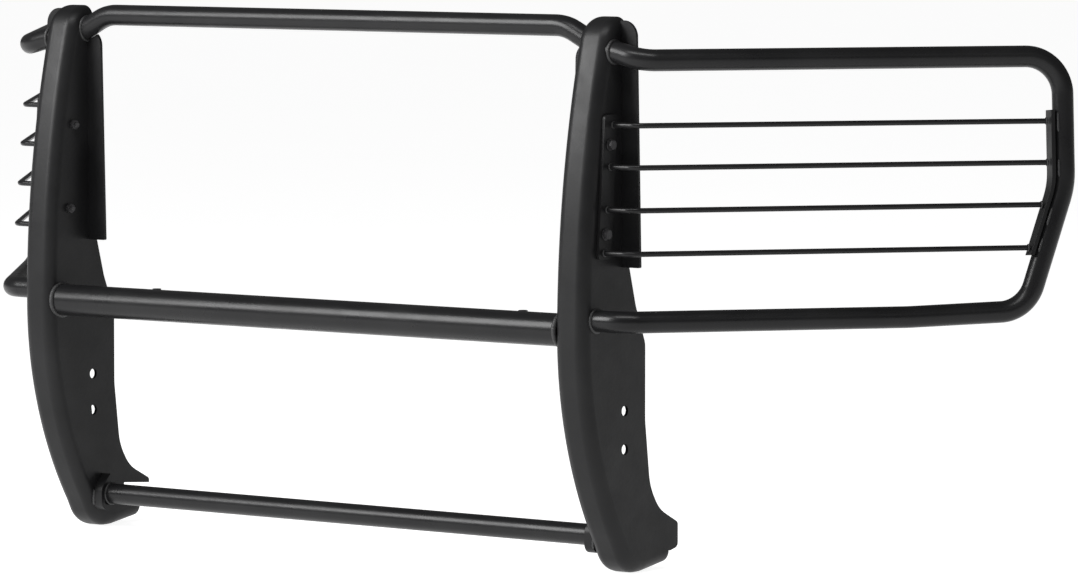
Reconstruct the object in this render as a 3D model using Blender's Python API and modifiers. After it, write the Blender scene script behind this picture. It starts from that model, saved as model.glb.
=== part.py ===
"""Front grille guard for a full-size truck, in metres, +Z up.

Seen from in front of the truck, looking along +Y: +X is to the right, the noses of
the two uprights face -Y and the truck is on the +Y side.  The pieces are drawn with
y counted from the most forward line of the noses and z from just under their feet.
An empty then moves them so that the origin lies on the symmetry plane, midway
between the bolt holes of the frame brackets.  Everything off the middle is built on
the right side and mirrored in X = 0.
"""

from math import atan2, ceil, cos, pi, radians, sin, sqrt, tan

import bmesh
import bpy
from mathutils import Matrix, Vector

# ---------------------------------------------------------------- driving dimensions
GAP = 0.0003                    # clearance kept between touching pieces
CUT_REACH = 0.012               # how far a drill stands out past the faces it cuts
BLANK_REAR_Y = 0.260            # rear of the upright's blank, before its plates are trimmed

# Upright: a formed steel channel with its web in front.
UPRIGHT_INNER_X = 0.483         # face of the plate on the grille side
UPRIGHT_OUTER_X = 0.540         # face of the plate on the fender side
PLATE = 0.0048                  # steel thickness of the upright
NOSE_BEND = 0.018               # outside radius between web and side plates
UPRIGHT_TOP = 0.810
SOLE_Z = 0.003                  # underside of the foot
NOSE_Z = 0.355                  # height of the most forward point
NOSE_R_UP = 1.650               # radius of the web above that point
NOSE_R_DOWN = 0.590             # radius of the web below it
HEAD_R = 0.045                  # radius where the web turns over the head
TOE_R = 0.047                   # radius where the web turns under the foot
WEB_HEAD_Y = 0.106              # rear end of the web over the head
WEB_TAIL = (0.206, 0.012)       # (y, z) of the rear end of the web under the foot
FLANGE_Y = 0.090                # front face of the turned-out rear flanges
FLANGE_BOTTOM = 0.450
FLANGE_WIDTH_LOW = 0.0325
FLANGE_WIDTH_HIGH = 0.0255
FLANGE_TOP_OUTER = 0.805
FLANGE_TOP_INNER = 0.772
FLANGE_CORNER_R = 0.024
FRAME_BOLT_Y = 0.099            # holes for the bolts to the truck's frame brackets
FRAME_BOLT_ZS = (0.242, 0.186)
FRAME_BOLT_HOLE_R = 0.0078

# Cross tubes between the uprights.
TUBE_R = 0.015875               # 1-1/4 in tube
PIPE_R = 0.02413                # 1-1/2 in pipe, the large middle cross tube
TUBE_WALL = 0.0026
TUBE_HOLE_GAP = 0.0009          # a tube's hole is this much larger in radius
PIPE_WALL = 0.0037
TOP_TUBE_Y = 0.089
TOP_TUBE_Z = 0.796
TOP_TUBE_ELBOW_X = 0.441        # where its two ends turn down to the uprights
TOP_TUBE_SLOPE = radians(27)
TOP_TUBE_END_X = 0.495
TOP_TUBE_BEND = 0.075
MID_TUBE_Y = 0.028
MID_TUBE_Z = 0.3605
LOW_TUBE_Y = 0.123
LOW_TUBE_Z = 0.055
LOW_TUBE_END_X = 0.512

# Saddle bracket that holds each end of the lower cross tube.
SADDLE_WIDTH = 0.016
SADDLE_WALL = 0.008
SADDLE_TOP = 0.074
SADDLE_REAR_Y = 0.164

# Wings: a headlight hoop each side, swept back, its plane raked forward at the foot.
WING_SWEEP = radians(51.8)
WING_ROOT_X = 0.588             # where the swept part of every wing bar starts
WING_TOP_Z = 0.749
WING_LOW_Z = 0.376
WING_TOP_Y = 0.073              # the wing's root at the height of its top tube
WING_LOW_Y = 0.031              # and at the height of its bottom tube
WING_CORNER = (0.633, 0.750)    # (distance along the wing, height) of the hoop's bends
WING_SHOULDER = (0.650, 0.563)
WING_FOOT = (0.604, 0.382)
WING_CORNER_R = 0.056
WING_SHOULDER_R = 0.120
WING_ELBOW_R = 0.045
WING_PLATE_END = 0.529          # the hoop's tubes end inside the upright
WING_TOP_PLATE_Z = 0.759        # the top tube leaves the upright a little higher

# Rods across each wing, and the two bars that carry them.
ROD_R = 0.004
ROD_ZS = (0.656, 0.596, 0.535, 0.473)
ROD_BEND = 0.022
ROD_END_GAP = 0.0035            # from a rod's centre line to the slanting face of the end bar
BAR_THICK = 0.005
BAR_BOTTOM = (0.028, 0.464)     # front lower corner of the inner bar (y, z)
BAR_TOP = (0.044, 0.671)
BAR_WIDTH = 0.030
END_BAR_THICK = 0.006
END_BAR_WIDTH = 0.025
END_BAR_TOP = 0.672
END_BAR_BOTTOM = 0.462
WING_BOLTS = ((0.0445, 0.500), (0.0550, 0.628))

# Fasteners.
BOLT_R = 0.004
BOLT_HEAD_AF = 0.013            # across flats
BOLT_HEAD_H = 0.0053
WASHER_R = 0.0085
WASHER_H = 0.0016
NUT_H = 0.0065

# Rear tabs on the middle cross tube.
TAB_X = 0.3535
TAB_WIDTH = 0.020
TAB_THICK = 0.005
TAB_TOP_Z = 0.3735
TAB_REAR_Y = 0.112
TAB_BOLT_Y = 0.100

NOSE_STEPS = 14
TUBE_SIDES_RES = 4              # curve bevel resolution: 12 sides
ROD_SIDES_RES = 2               # 8 sides

MODEL = "front_grille_guard"


# ---------------------------------------------------------------- scene and materials
def clear_scene():
    for obj in list(bpy.data.objects):
        bpy.data.objects.remove(obj, do_unlink=True)
    for block in (bpy.data.meshes, bpy.data.curves, bpy.data.materials):
        for item in list(block):
            block.remove(item)


def make_collection(name):
    collection = bpy.data.collections.get(name)
    if collection is None:
        collection = bpy.data.collections.new(name)
        bpy.context.scene.collection.children.link(collection)
    return collection


def make_material(name, colour, roughness, metallic):
    material = bpy.data.materials.new(name)
    material.use_nodes = True
    shader = material.node_tree.nodes["Principled BSDF"]
    shader.inputs["Base Color"].default_value = (*colour, 1.0)
    shader.inputs["Roughness"].default_value = roughness
    shader.inputs["Metallic"].default_value = metallic
    return material


# ---------------------------------------------------------------- outline helpers
def rounded(corners, closed=False):
    """A polyline from (point, radius) pairs, each corner turned by its radius.

    Works in any dimension; a radius of 0 keeps the corner sharp.
    """
    pts = [Vector(p) for p, _ in corners]
    radii = [r for _, r in corners]
    out = []
    count = len(pts)
    for i, (point, radius) in enumerate(zip(pts, radii)):
        inside = closed or 0 < i < count - 1
        if radius == 0 or not inside:
            out.append(point)
            continue
        before = (pts[i - 1] - point).normalized()
        after = (pts[(i + 1) % count] - point).normalized()
        turn = pi - before.angle(after)
        if turn < 1e-4:
            out.append(point)
            continue
        reach = radius * tan(turn / 2)
        middle = (before + after).normalized()
        centre = point + middle * (radius / cos(turn / 2))
        first = point + before * reach - centre
        last = point + after * reach - centre
        steps = max(2, ceil(turn / radians(17)))
        for k in range(steps + 1):
            a = turn * k / steps
            out.append(centre + (first * sin(turn - a) + last * sin(a)) / sin(turn))
    return out


def nose_offset(z, inset=0.0):
    """How far behind the most forward line the web lies at height z."""
    radius = NOSE_R_UP if z > NOSE_Z else NOSE_R_DOWN
    reduced = radius - inset
    return radius - sqrt(reduced ** 2 - (z - NOSE_Z) ** 2)


def web_path(inset=0.0):
    """The web's outline from the tail under the foot, round the nose, to the head."""
    low_z = 0.045
    high_z = 0.773
    tail_y, tail_z = WEB_TAIL
    low_y = nose_offset(low_z, inset)
    low_lean = atan2(NOSE_Z - low_z, NOSE_R_DOWN - inset)
    floor_z = SOLE_Z + inset
    toe = (low_y + (low_z - floor_z) * tan(low_lean), floor_z)
    sole = (0.150, floor_z)
    high_y = nose_offset(high_z, inset)
    head_z = UPRIGHT_TOP - inset
    high_lean = atan2(high_z - NOSE_Z, NOSE_R_UP - inset)
    head = (high_y + (head_z - high_z) * tan(high_lean), head_z)
    corners = [((tail_y, tail_z + inset), 0), (sole, 0.050), (toe, TOE_R - inset)]
    for i in range(NOSE_STEPS + 1):
        z = low_z + (high_z - low_z) * i / NOSE_STEPS
        corners.append(((nose_offset(z, inset), z), 0))
    corners += [(head, HEAD_R - inset), ((WEB_HEAD_Y, head_z), 0)]
    return rounded(corners)


# ---------------------------------------------------------------- mesh helpers
def new_object(name, mesh, collection, material=None):
    obj = bpy.data.objects.new(name, mesh)
    collection.objects.link(obj)
    if material is not None:
        mesh.materials.clear()
        mesh.materials.append(material)
    return obj


def smooth(obj):
    obj.data.shade_smooth()
    obj.data.set_sharp_from_angle(angle=radians(35))


def evaluated_mesh(obj):
    """The object's evaluated mesh in world space, with its caps welded."""
    bpy.context.view_layer.update()
    graph = bpy.context.evaluated_depsgraph_get()
    mesh = bpy.data.meshes.new_from_object(obj.evaluated_get(graph), depsgraph=graph)
    mesh.transform(obj.matrix_world)
    bm = bmesh.new()
    bm.from_mesh(mesh)
    bmesh.ops.remove_doubles(bm, verts=bm.verts, dist=0.00002)
    bmesh.ops.recalc_face_normals(bm, faces=bm.faces)
    bm.to_mesh(mesh)
    bm.free()
    return mesh


def extrude_outline(name, outline, x0, x1, collection):
    """A (y, z) outline as a flat filled curve, extruded from x0 to x1, made a mesh."""
    curve = bpy.data.curves.new(name, "CURVE")
    curve.dimensions = "2D"
    curve.fill_mode = "BOTH"
    curve.extrude = (x1 - x0) / 2
    spline = curve.splines.new("POLY")
    spline.points.add(len(outline) - 1)
    for point, (y, z) in zip(spline.points, outline):
        point.co = (y, z, 0, 1)
    spline.use_cyclic_u = True
    guide = bpy.data.objects.new(name, curve)
    collection.objects.link(guide)
    # The curve's x, y and z axes become the model's y, z and x axes.
    guide.matrix_world = Matrix(((0, 0, 1, (x0 + x1) / 2), (1, 0, 0, 0), (0, 1, 0, 0), (0, 0, 0, 1)))
    mesh = evaluated_mesh(guide)
    bpy.data.objects.remove(guide, do_unlink=True)
    return new_object(name, mesh, collection)


def bevel_web_edges(obj, path, x_faces, radius, segments):
    """Rounds the edges that run along the web's outline on the given x faces."""
    bm = bmesh.new()
    bm.from_mesh(obj.data)
    keys = {(round(p[0], 5), round(p[1], 5)) for p in path}

    def on_path(vert):
        return (round(vert.co.y, 5), round(vert.co.z, 5)) in keys

    chosen = []
    for edge in bm.edges:
        a, b = edge.verts
        same_face = abs(a.co.x - b.co.x) < 1e-5
        on_face = min(abs(a.co.x - x) for x in x_faces) < 1e-5
        folded = len(edge.link_faces) == 2 and edge.calc_face_angle() > radians(60)
        if same_face and on_face and folded and on_path(a) and on_path(b):
            chosen.append(edge)
    bmesh.ops.bevel(
        bm, geom=chosen, offset=radius, offset_type="OFFSET", segments=segments,
        profile=0.5, affect="EDGES", clamp_overlap=False,
    )
    bmesh.ops.remove_doubles(bm, verts=bm.verts, dist=0.00002)
    bmesh.ops.recalc_face_normals(bm, faces=bm.faces)
    bm.to_mesh(obj.data)
    bm.free()


def boolean(target, tool, operation):
    """Applies an exact boolean of one mesh object on another."""
    modifier = target.modifiers.new("cut", "BOOLEAN")
    modifier.operation = operation
    modifier.solver = "EXACT"
    modifier.object = tool
    mesh = evaluated_mesh(target)
    target.modifiers.remove(modifier)
    old = target.data
    target.data = mesh
    bpy.data.meshes.remove(old)


def cylinder(name, start, end, radius, sides, collection):
    """A solid cylinder between two points."""
    start = Vector(start)
    end = Vector(end)
    axis = end - start
    bm = bmesh.new()
    bmesh.ops.create_cone(
        bm, cap_ends=True, segments=sides, radius1=radius, radius2=radius, depth=axis.length,
    )
    turn = axis.to_track_quat("Z", "Y").to_matrix().to_4x4()
    bmesh.ops.transform(bm, matrix=Matrix.Translation((start + end) / 2) @ turn, verts=bm.verts)
    mesh = bpy.data.meshes.new(name)
    bm.to_mesh(mesh)
    bm.free()
    return new_object(name, mesh, collection)


def swept(name, path, radius, resolution, collection, wall=0.0, oversize=0.0):
    """A round bar along a path, or with a wall thickness a tube with open ends."""
    curve = bpy.data.curves.new(name, "CURVE")
    curve.dimensions = "3D"
    curve.bevel_depth = radius + oversize
    curve.bevel_resolution = resolution
    curve.use_fill_caps = wall == 0
    curve.twist_mode = "MINIMUM"
    spline = curve.splines.new("POLY")
    spline.points.add(len(path) - 1)
    for point, place in zip(spline.points, path):
        point.co = (*place, 1)
    guide = bpy.data.objects.new(name, curve)
    collection.objects.link(guide)
    mesh = evaluated_mesh(guide)
    bpy.data.objects.remove(guide, do_unlink=True)
    obj = new_object(name, mesh, collection)
    if wall:
        solidify = obj.modifiers.new("wall", "SOLIDIFY")
        solidify.thickness = wall
        solidify.offset = -1
        solidify.use_even_offset = True
        obj.data = evaluated_mesh(obj)
        obj.modifiers.clear()
    return obj


def mirrored(obj, name, collection):
    """A copy of a right-hand piece on the left side, as an object of its own."""
    mesh = obj.data.copy()
    mesh.name = name
    mesh.transform(Matrix.Scale(-1, 4, (1, 0, 0)))
    mesh.flip_normals()
    return new_object(name, mesh, collection)


# ---------------------------------------------------------------- wing geometry
def root_y(z):
    """The wing's root line leans forward towards its foot."""
    return WING_LOW_Y + (WING_TOP_Y - WING_LOW_Y) * (z - WING_LOW_Z) / (WING_TOP_Z - WING_LOW_Z)


def wing_point(along, z):
    """A point in the wing's plane, at a distance along the wing and a height."""
    x = WING_ROOT_X + along * cos(WING_SWEEP)
    y = root_y(z) + along * sin(WING_SWEEP)
    return (x, y, z)


def outer_tube_along(z):
    """Distance along the wing of the outer tube's centre line at height z."""
    low, high = (WING_FOOT, WING_SHOULDER) if z < WING_SHOULDER[1] else (WING_SHOULDER, WING_CORNER)
    share = (z - low[1]) / (high[1] - low[1])
    return low[0] + (high[0] - low[0]) * share


def hoop_path(end_x):
    """Centre line of a wing's hoop, from the upper to the lower end in the upright."""
    top_y = root_y(WING_TOP_Z)
    low_y = root_y(WING_LOW_Z)
    corners = [
        ((end_x, top_y, WING_TOP_PLATE_Z + 0.003), 0),
        ((UPRIGHT_OUTER_X + 0.012, top_y, WING_TOP_PLATE_Z - 0.001), 0.150),
        (wing_point(0, WING_TOP_Z), WING_ELBOW_R),
        (wing_point(*WING_CORNER), WING_CORNER_R),
        (wing_point(*WING_SHOULDER), WING_SHOULDER_R),
        (wing_point(*WING_FOOT), WING_CORNER_R),
        (wing_point(0.425, WING_LOW_Z), 0.300),
        (wing_point(0, WING_LOW_Z), WING_ELBOW_R),
        ((end_x, low_y, WING_LOW_Z), 0),
    ]
    return rounded(corners)


def rod_path(z):
    """Centre line of a rod, from the inner bar's face to the end bar."""
    start_x = UPRIGHT_OUTER_X + GAP + BAR_THICK + GAP
    end_along = outer_tube_along(z) - TUBE_R - END_BAR_THICK - ROD_END_GAP
    corners = [
        ((start_x, root_y(z), z), 0),
        (wing_point(0, z), ROD_BEND),
        (wing_point(end_along, z), 0),
    ]
    return rounded(corners)


# ---------------------------------------------------------------- sub-parts
def build_upright(parts, cutters, hoop, steel):
    """The formed channel: web, two side plates and their turned-out flanges."""
    path = [tuple(p) for p in web_path()]
    head_z = path[-1][1]
    outline = path + [(BLANK_REAR_Y, head_z), (BLANK_REAR_Y, WEB_TAIL[1])]
    blank = extrude_outline("right_upright", outline, UPRIGHT_INNER_X, UPRIGHT_OUTER_X, parts)
    faces = (UPRIGHT_INNER_X, UPRIGHT_OUTER_X)
    top_line = [(BLANK_REAR_Y, head_z), (BLANK_REAR_Y, WEB_TAIL[1])]
    bevel_web_edges(blank, path + top_line, faces, NOSE_BEND, 3)

    inner_path = [tuple(p) for p in web_path(PLATE)]
    inner_head = inner_path[-1][1]
    rear = [(BLANK_REAR_Y + 0.02, inner_head), (BLANK_REAR_Y + 0.02, WEB_TAIL[1] + PLATE)]
    inner_outline = inner_path + rear
    inside = (UPRIGHT_INNER_X + PLATE, UPRIGHT_OUTER_X - PLATE)
    cavity = extrude_outline("cut_cavity", inner_outline, *inside, cutters)
    bevel_web_edges(cavity, inner_path + rear, inside, NOSE_BEND - PLATE, 3)
    boolean(blank, cavity, "DIFFERENCE")

    # The rear edge of the side plates, from the head down to the foot.
    edge_low = [
        ((0.110, 0.452), 0), ((0.125, 0.392), 0.060), ((0.148, 0.337), 0.030),
        ((0.148, 0.225), 0.100), ((0.160, 0.128), 0.080), ((0.182, 0.093), 0.060),
        ((0.2285, 0.070), 0.006), ((0.2285, 0.030), 0.010), ((0.206, 0.017), 0.030),
        ((WEB_TAIL[0], -0.010), 0),
    ]
    edge_outer = [((WEB_HEAD_Y - 0.004, 0.830), 0), ((0.109, 0.800), 0.010)] + edge_low
    # On the grille side a slot, open to the rear, takes the end of the top tube.
    edge_inner = [
        ((WEB_HEAD_Y - 0.004, 0.830), 0), ((0.108, 0.794), 0.003),
        ((TOP_TUBE_Y, 0.790), 0.002), ((TOP_TUBE_Y, 0.758), 0.002), ((0.109, 0.755), 0.003),
    ] + edge_low
    middle_x = (UPRIGHT_INNER_X + UPRIGHT_OUTER_X) / 2
    sides = (
        ("cut_outer_rear", edge_outer, middle_x - 0.001, UPRIGHT_OUTER_X + 0.002),
        ("cut_inner_rear", edge_inner, UPRIGHT_INNER_X - 0.002, middle_x),
    )
    for name, edge, x0, x1 in sides:
        line = [tuple(p) for p in rounded(edge)]
        cutter = extrude_outline(name, line + [(0.30, -0.010), (0.30, 0.830)], x0, x1, cutters)
        boolean(blank, cutter, "DIFFERENCE")

    # Turned-out flanges, one on each plate.
    flanges = (
        ("outer_flange", UPRIGHT_OUTER_X - 0.002, 1, FLANGE_TOP_OUTER),
        ("inner_flange", UPRIGHT_INNER_X + 0.002, -1, FLANGE_TOP_INNER),
    )
    for name, root_x, side, top in flanges:
        flange = flange_plate(name, root_x, side, top, cutters)
        boolean(blank, flange, "UNION")

    # Openings: the tubes' ends, the lower tube's slot and the bolt holes.
    for name, tube_path, radius in hoop:
        tool = swept("cut_" + name, tube_path, radius, TUBE_SIDES_RES, cutters, oversize=TUBE_HOLE_GAP)
        boolean(blank, tool, "DIFFERENCE")
    slot_floor = LOW_TUBE_Z - TUBE_R - GAP
    slot_roof = LOW_TUBE_Z + TUBE_R + GAP
    slot_outline = [
        (LOW_TUBE_Y, slot_floor), (0.300, slot_floor),
        (0.300, slot_roof - 0.014), (LOW_TUBE_Y, slot_roof),
    ]
    slot_faces = (UPRIGHT_INNER_X - 0.002, UPRIGHT_INNER_X + PLATE + 0.002)
    slot = extrude_outline("cut_low_slot", slot_outline, *slot_faces, cutters)
    boolean(blank, slot, "DIFFERENCE")
    holes = [(FRAME_BOLT_Y, z, FRAME_BOLT_HOLE_R, 16) for z in FRAME_BOLT_ZS]
    holes += [(y, z, BOLT_R + GAP, 12) for y, z in WING_BOLTS]
    for i, (y, z, radius, count) in enumerate(holes):
        start = (UPRIGHT_INNER_X - CUT_REACH, y, z)
        end = (UPRIGHT_OUTER_X + CUT_REACH, y, z)
        tool = cylinder(f"cut_hole_{i}", start, end, radius, count, cutters)
        boolean(blank, tool, "DIFFERENCE")
    smooth(blank)
    blank.data.materials.clear()
    blank.data.materials.append(steel)
    return blank


def flange_plate(name, root_x, side, top, collection):
    """A flange in the x, z plane: wider at the bottom, round at its upper corner."""
    low_tip = FLANGE_WIDTH_LOW + 0.002
    high_tip = FLANGE_WIDTH_HIGH + 0.002
    corners = [
        ((0.0, FLANGE_BOTTOM), 0), ((low_tip, FLANGE_BOTTOM), 0.002),
        ((high_tip, top), FLANGE_CORNER_R), ((0.0, top), 0),
    ]
    outline = [tuple(p) for p in rounded(corners, closed=True)]
    flange = extrude_outline(name, outline, 0.0, PLATE, collection)
    # The outline's axes (y, z, x) become (x, z, y) at the flange's place.
    flange.data.transform(Matrix(((0, side, 0, root_x), (1, 0, 0, FLANGE_Y), (0, 0, 1, 0), (0, 0, 0, 1))))
    bm = bmesh.new()
    bm.from_mesh(flange.data)
    bmesh.ops.recalc_face_normals(bm, faces=bm.faces)
    bm.to_mesh(flange.data)
    bm.free()
    return flange


def top_tube_path(end_x):
    """Centre line of half of the top cross tube: straight, then down to the upright."""
    drop = tan(TOP_TUBE_SLOPE) * (end_x - TOP_TUBE_ELBOW_X)
    return [
        ((0.0, TOP_TUBE_Y, TOP_TUBE_Z), 0),
        ((TOP_TUBE_ELBOW_X, TOP_TUBE_Y, TOP_TUBE_Z), TOP_TUBE_BEND),
        ((end_x, TOP_TUBE_Y, TOP_TUBE_Z - drop), 0),
    ]


def build_cross_tubes(parts, steel):
    half = rounded(top_tube_path(TOP_TUBE_END_X))
    left = [Vector((-p.x, p.y, p.z)) for p in reversed(half[1:])]
    top = swept("top_cross_tube", left + half[1:], TUBE_R, TUBE_SIDES_RES, parts, TUBE_WALL)
    end = UPRIGHT_INNER_X - GAP
    mid_line = [(-end, MID_TUBE_Y, MID_TUBE_Z), (end, MID_TUBE_Y, MID_TUBE_Z)]
    mid = swept("middle_cross_tube", mid_line, PIPE_R, TUBE_SIDES_RES + 2, parts, PIPE_WALL)
    low_line = [(-LOW_TUBE_END_X, LOW_TUBE_Y, LOW_TUBE_Z), (LOW_TUBE_END_X, LOW_TUBE_Y, LOW_TUBE_Z)]
    low = swept("lower_cross_tube", low_line, TUBE_R, TUBE_SIDES_RES, parts, TUBE_WALL)
    for tube in (top, mid, low):
        smooth(tube)
        tube.data.materials.append(steel)


def build_saddle(parts, steel):
    """A C-shaped bracket round the front and underside of the lower cross tube."""
    front = LOW_TUBE_Y - TUBE_R - 2 * GAP
    floor = LOW_TUBE_Z - TUBE_R - 2 * GAP
    outer_r = SADDLE_WALL + 0.006
    corners = [
        ((front - SADDLE_WALL, floor - SADDLE_WALL), outer_r),
        ((SADDLE_REAR_Y, floor - SADDLE_WALL), 0),
        ((SADDLE_REAR_Y, floor), 0),
        ((front, floor), 0.006),
        ((front, SADDLE_TOP - 0.012), 0.012),
        ((front + 0.020, SADDLE_TOP + 0.006), 0),
        ((front + 0.013, SADDLE_TOP + 0.012), 0),
        ((front - SADDLE_WALL, SADDLE_TOP - 0.008), 0.020),
    ]
    outline = [tuple(p) for p in rounded(corners, closed=True)]
    x1 = UPRIGHT_INNER_X - GAP
    saddle = extrude_outline("right_lower_tube_saddle", outline, x1 - SADDLE_WIDTH, x1, parts)
    saddle.data.materials.append(steel)
    return saddle


def build_hoop(parts, steel):
    hoop = swept(
        "right_wing_hoop", hoop_path(WING_PLATE_END), TUBE_R, TUBE_SIDES_RES, parts, TUBE_WALL,
    )
    smooth(hoop)
    hoop.data.materials.append(steel)
    return hoop


def build_inner_bar(parts, cutters, steel):
    """The flat bar that bolts the wing's rods to the upright."""
    (y0, z0), (y1, z1) = BAR_BOTTOM, BAR_TOP
    corners = [
        ((y0, z0), 0.006), ((y0 + BAR_WIDTH, z0), 0.006),
        ((y1 + BAR_WIDTH, z1), 0.006), ((y1, z1), 0.006),
    ]
    outline = [tuple(p) for p in rounded(corners, closed=True)]
    x0 = UPRIGHT_OUTER_X + GAP
    bar = extrude_outline("right_wing_inner_bar", outline, x0, x0 + BAR_THICK, parts)
    for i, (y, z) in enumerate(WING_BOLTS):
        start = (x0 - CUT_REACH, y, z)
        end = (x0 + CUT_REACH, y, z)
        tool = cylinder(f"cut_bar_{i}", start, end, BOLT_R + GAP, 12, cutters)
        boolean(bar, tool, "DIFFERENCE")
    bar.data.materials.clear()
    bar.data.materials.append(steel)
    return bar


def build_end_bar(parts, steel):
    """The flat bar inside the hoop's outer tube, where the rods end."""
    corner, shoulder, foot = Vector(WING_CORNER), Vector(WING_SHOULDER), Vector(WING_FOOT)
    near = TUBE_R + GAP
    upper = (corner - shoulder).normalized()
    lower = (foot - shoulder).normalized()
    middle = (upper + lower).normalized()
    inward = 1 / sin(upper.angle(lower) / 2)

    def at(z, offset):
        """A point of the outline at height z, offset inwards from the tube's centre."""
        line = upper if z > shoulder.y else lower
        square = abs(line.y)
        return (outer_tube_along(z) - offset / square, z)

    corners = []
    for offset, order in ((near, 1), (near + END_BAR_THICK, -1)):
        bend = shoulder + middle * offset * inward
        side = [
            (at(END_BAR_TOP, offset), 0),
            (tuple(bend), WING_SHOULDER_R - offset),
            (at(END_BAR_BOTTOM, offset), 0),
        ]
        corners += side[::order]
    outline = [tuple(p) for p in rounded(corners, closed=True)]
    bar = extrude_outline(
        "right_wing_end_bar", outline, -END_BAR_WIDTH / 2, END_BAR_WIDTH / 2, parts,
    )
    # Local y is the distance along the wing and local x goes across its plane.
    rake = (WING_TOP_Y - WING_LOW_Y) / (WING_TOP_Z - WING_LOW_Z)
    across = Vector((cos(WING_SWEEP), sin(WING_SWEEP), 0)).cross(Vector((0, rake, 1))).normalized()
    base = wing_point(0, 0)
    place = Matrix((
        (across.x, cos(WING_SWEEP), 0, base[0]),
        (across.y, sin(WING_SWEEP), rake, base[1]),
        (across.z, 0, 1, base[2]),
        (0, 0, 0, 1),
    ))
    bar.data.transform(place)
    bm = bmesh.new()
    bm.from_mesh(bar.data)
    bmesh.ops.recalc_face_normals(bm, faces=bm.faces)
    bm.to_mesh(bar.data)
    bm.free()
    bar.data.materials.append(steel)
    return bar


def build_rods(parts, steel):
    rods = []
    for i, z in enumerate(ROD_ZS):
        rod = swept(f"right_wing_rod_{i + 1}", rod_path(z), ROD_R, ROD_SIDES_RES, parts)
        smooth(rod)
        rod.data.materials.append(steel)
        rods.append(rod)
    return rods


def hex_bolt(name, head_at, direction, length, parts, cutters, zinc):
    """A hexagon bolt: its head starts at head_at and its shank points the other way."""
    head_at = Vector(head_at)
    direction = Vector(direction)
    corner_r = BOLT_HEAD_AF / 2 / cos(pi / 6)
    head = cylinder(name, head_at, head_at + direction * BOLT_HEAD_H, corner_r, 6, parts)
    shank = cylinder(
        "shank_" + name, head_at + direction * 0.002, head_at - direction * length, BOLT_R, 12,
        cutters,
    )
    boolean(head, shank, "UNION")
    smooth(head)
    head.data.materials.clear()
    head.data.materials.append(zinc)
    return head


def ring(name, start, end, outer_r, sides, bore_r, parts, cutters, zinc):
    """A washer or a nut: a short prism with a round bore."""
    body = cylinder(name, start, end, outer_r, sides, parts)
    axis = (Vector(end) - Vector(start)).normalized() * 0.002
    tool = cylinder("bore_" + name, Vector(start) - axis, Vector(end) + axis, bore_r, 12, cutters)
    boolean(body, tool, "DIFFERENCE")
    smooth(body)
    body.data.materials.clear()
    body.data.materials.append(zinc)
    return body


def build_wing_bolts(parts, cutters, zinc):
    """Bolts from the bar's face through both plates, nuts on the grille side."""
    pieces = []
    face = UPRIGHT_OUTER_X + BAR_THICK + 2 * GAP
    inner = UPRIGHT_INNER_X - GAP
    corner_r = BOLT_HEAD_AF / 2 / cos(pi / 6)
    for i, (y, z) in enumerate(WING_BOLTS, start=1):
        washer_end = face + WASHER_H
        pieces.append(ring(
            f"right_wing_washer_{i}", (face, y, z), (washer_end, y, z), WASHER_R, 16,
            BOLT_R + GAP, parts, cutters, zinc,
        ))
        length = washer_end + GAP - inner + NUT_H + 0.004
        pieces.append(hex_bolt(
            f"right_wing_bolt_{i}", (washer_end + GAP, y, z), (1, 0, 0), length, parts,
            cutters, zinc,
        ))
        pieces.append(ring(
            f"right_wing_nut_{i}", (inner - NUT_H, y, z), (inner, y, z), corner_r, 6,
            BOLT_R + GAP, parts, cutters, zinc,
        ))
    return pieces


def build_tab(parts, cutters, steel, zinc):
    """A flat tab welded behind the middle cross tube, and the bolt standing in it."""
    reach = sqrt(PIPE_R ** 2 - (TAB_TOP_Z - MID_TUBE_Z) ** 2)
    front = MID_TUBE_Y + reach - 0.004
    corners = [
        ((front, TAB_X - TAB_WIDTH / 2), 0), ((TAB_REAR_Y, TAB_X - TAB_WIDTH / 2), 0.008),
        ((TAB_REAR_Y, TAB_X + TAB_WIDTH / 2), 0.008), ((front, TAB_X + TAB_WIDTH / 2), 0),
    ]
    outline = [tuple(p) for p in rounded(corners, closed=True)]
    low = TAB_TOP_Z - TAB_THICK
    tab = extrude_outline("right_light_tab", outline, low, TAB_TOP_Z, parts)
    # The outline's axes (y, x) and its extrusion become y, x and z.
    tab.data.transform(Matrix(((0, 0, 1, 0), (0, 1, 0, 0), (1, 0, 0, 0), (0, 0, 0, 1))))
    bm = bmesh.new()
    bm.from_mesh(tab.data)
    bmesh.ops.recalc_face_normals(bm, faces=bm.faces)
    bm.to_mesh(tab.data)
    bm.free()
    pipe_line = [(0.0, MID_TUBE_Y, MID_TUBE_Z), (0.480, MID_TUBE_Y, MID_TUBE_Z)]
    tool = swept("cut_tab", pipe_line, PIPE_R, TUBE_SIDES_RES + 2, cutters, oversize=GAP)
    boolean(tab, tool, "DIFFERENCE")
    hole = cylinder(
        "cut_tab_hole", (TAB_X, TAB_BOLT_Y, low - 0.003), (TAB_X, TAB_BOLT_Y, TAB_TOP_Z + 0.003),
        BOLT_R + GAP, 12, cutters,
    )
    boolean(tab, hole, "DIFFERENCE")
    tab.data.materials.clear()
    tab.data.materials.append(steel)
    bolt = hex_bolt(
        "right_light_tab_bolt", (TAB_X, TAB_BOLT_Y, TAB_TOP_Z + GAP), (0, 0, 1), 0.020, parts,
        cutters, zinc,
    )
    return [tab, bolt]


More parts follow.
